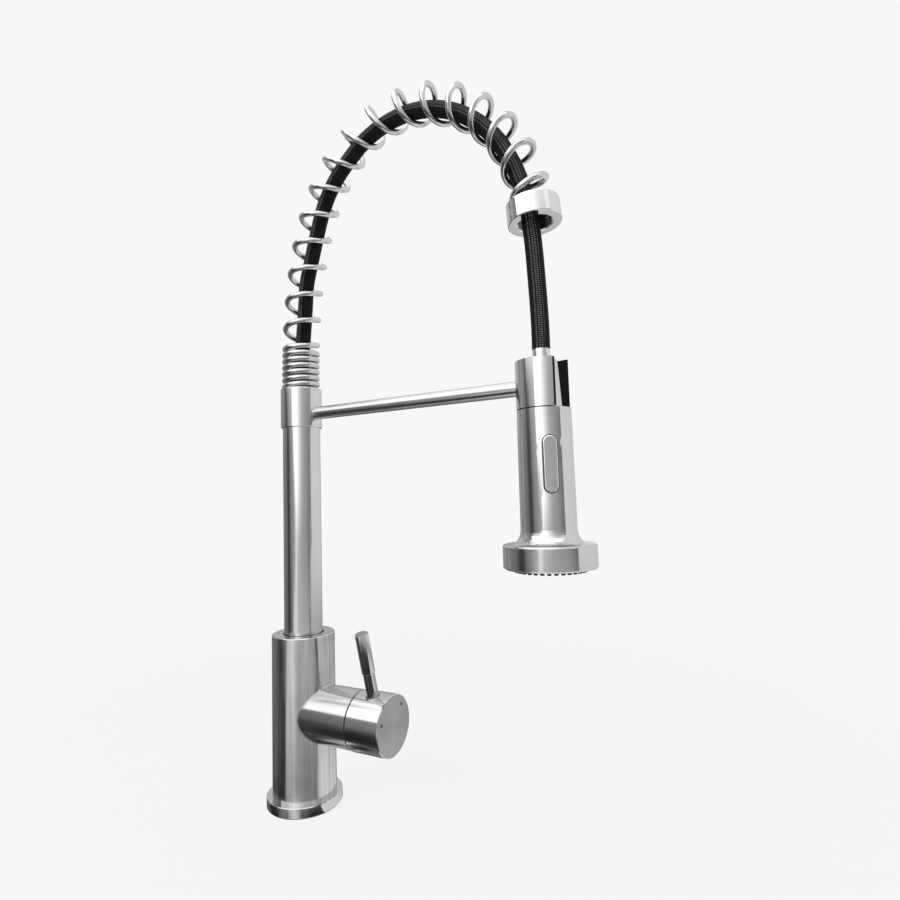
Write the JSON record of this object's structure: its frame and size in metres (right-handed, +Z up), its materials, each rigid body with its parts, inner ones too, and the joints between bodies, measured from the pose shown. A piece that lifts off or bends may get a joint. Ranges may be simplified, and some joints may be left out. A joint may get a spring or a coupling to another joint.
{
  "type": "pull-out kitchen faucet",
  "caption": "Tall deck-mounted kitchen faucet with an open coil spring over a braided hose, a swivelling spout arm, a pull-out spray head and a side lever with a ceramic mixing cartridge",
  "frame": {"origin": "centre of the flange's underside, at the mouth of the shank socket, where the faucet meets the deck", "axes": "+Z up along the body and riser, +X along the support arm and the handle, +Y to the back, away from the button's side"},
  "size_m": [0.2503, 0.0568, 0.5137],
  "materials": {
    "brushed_steel": "fine brushed stainless steel",
    "polished_steel": "polished stainless steel",
    "black_rubber": "matte black rubber",
    "black_plastic": "matte black plastic",
    "grey_plastic": "matte grey plastic",
    "white_plastic": "white acetal",
    "brass": "machined brass",
    "copper_pipe": "copper tube",
    "ceramic": "polished alumina ceramic",
    "braid": "black nylon braid with fine grey tracers",
    "dark_ink": "dark grey enamel"
  },
  "bodies": {
    "deck_body": {"deck_flange": "brushed_steel", "flange_gasket": "black_rubber", "faucet_body": "brushed_steel", "side_housing": "brushed_steel", "base_block": "brass", "inlet_pipes": "copper_pipe", "cartridge_seat": "brass", "cartridge_base": "white_plastic", "cartridge_seals": "black_rubber", "cartridge_case": "grey_plastic", "ceramic_disc_fixed": "ceramic", "retaining_nut": "brass", "swivel_spigot": "brass", "seal_carrier": "brass", "swivel_o_rings": "black_rubber", "swivel_bushing": "white_plastic"},
    "mixing_rotor": {"cartridge_rotor": "white_plastic", "stem_pin": "polished_steel"},
    "flow_disc": {"ceramic_disc_moving": "ceramic", "disc_carrier": "white_plastic"},
    "handle": {"cartridge_stem": "brass", "handle_cap": "brushed_steel", "lever_rod": "polished_steel", "lever_grip": "polished_steel", "handle_set_screw": "brushed_steel", "index_dots": "dark_ink"},
    "spout": {"riser_tube": "brushed_steel", "riser_end_ring": "brushed_steel", "arm_collar": "brushed_steel", "collar_set_screw": "brushed_steel", "support_arm": "brushed_steel", "holder_sleeve": "brushed_steel", "holder_liner": "black_plastic", "spring_seat": "brushed_steel", "hose_lower_fitting": "brass", "support_spring": "polished_steel", "spring_end_nut": "polished_steel", "braided_hose": "braid"},
    "spray_head": {"head_shell": "brushed_steel", "hose_ferrule": "polished_steel", "head_swivel_nut": "brass", "filter_washer": "black_rubber", "check_valve": "grey_plastic", "waterway_body": "black_plastic", "waterway_o_ring": "black_rubber", "button_pin": "polished_steel", "button_spring": "polished_steel", "spray_chamber": "black_plastic", "nozzle_pad": "black_rubber", "face_ring": "brushed_steel", "aerator_body": "grey_plastic", "aerator_mesh": "polished_steel"},
    "diverter": {"diverter_spool": "white_plastic", "spool_o_rings": "black_rubber"},
    "button": {"spray_button": "grey_plastic"}
  },
  "joints": [
    {"name": "spout_swivel", "type": "hinge", "parent": "deck_body", "child": "spout", "pos_m": [0, 0, 0.111], "axis": [0, 0, 1], "continuous": true},
    {"name": "handle_temperature", "type": "hinge", "parent": "deck_body", "child": "mixing_rotor", "pos_m": [0.042, 0, 0.0647], "axis": [1, 0, 0], "range_deg": [-60, 30]},
    {"name": "handle_flow", "type": "hinge", "parent": "mixing_rotor", "child": "handle", "pos_m": [0.042, 0, 0.0647], "axis": [0, 0.9659, 0.2588], "range_deg": [0, 22]},
    {"name": "flow_disc_slide", "type": "slide", "parent": "mixing_rotor", "child": "flow_disc", "axis": [0, -0.2588, 0.9659], "range_m": [0, 0.0056]},
    {"name": "spray_pull_out", "type": "slide", "parent": "spout", "child": "spray_head", "axis": [0, 0, -1], "range_m": [0, 0.15], "deforming": ["braided_hose"]},
    {"name": "spray_button_rock", "type": "hinge", "parent": "spray_head", "child": "button", "pos_m": [0.20029, -0.01078, 0.2363], "axis": [0.891, 0.454, 0], "range_deg": [-3, 3]},
    {"name": "diverter_slide", "type": "slide", "parent": "spray_head", "child": "diverter", "axis": [0, 0, 1], "range_m": [-0.00106, 0.00106]}
  ],
  "couplings": [
    {"joint": "flow_disc_slide", "follows": "handle_flow", "m_per_rad": 0.014},
    {"joint": "diverter_slide", "follows": "spray_button_rock", "m_per_rad": 0.02}
  ]
}
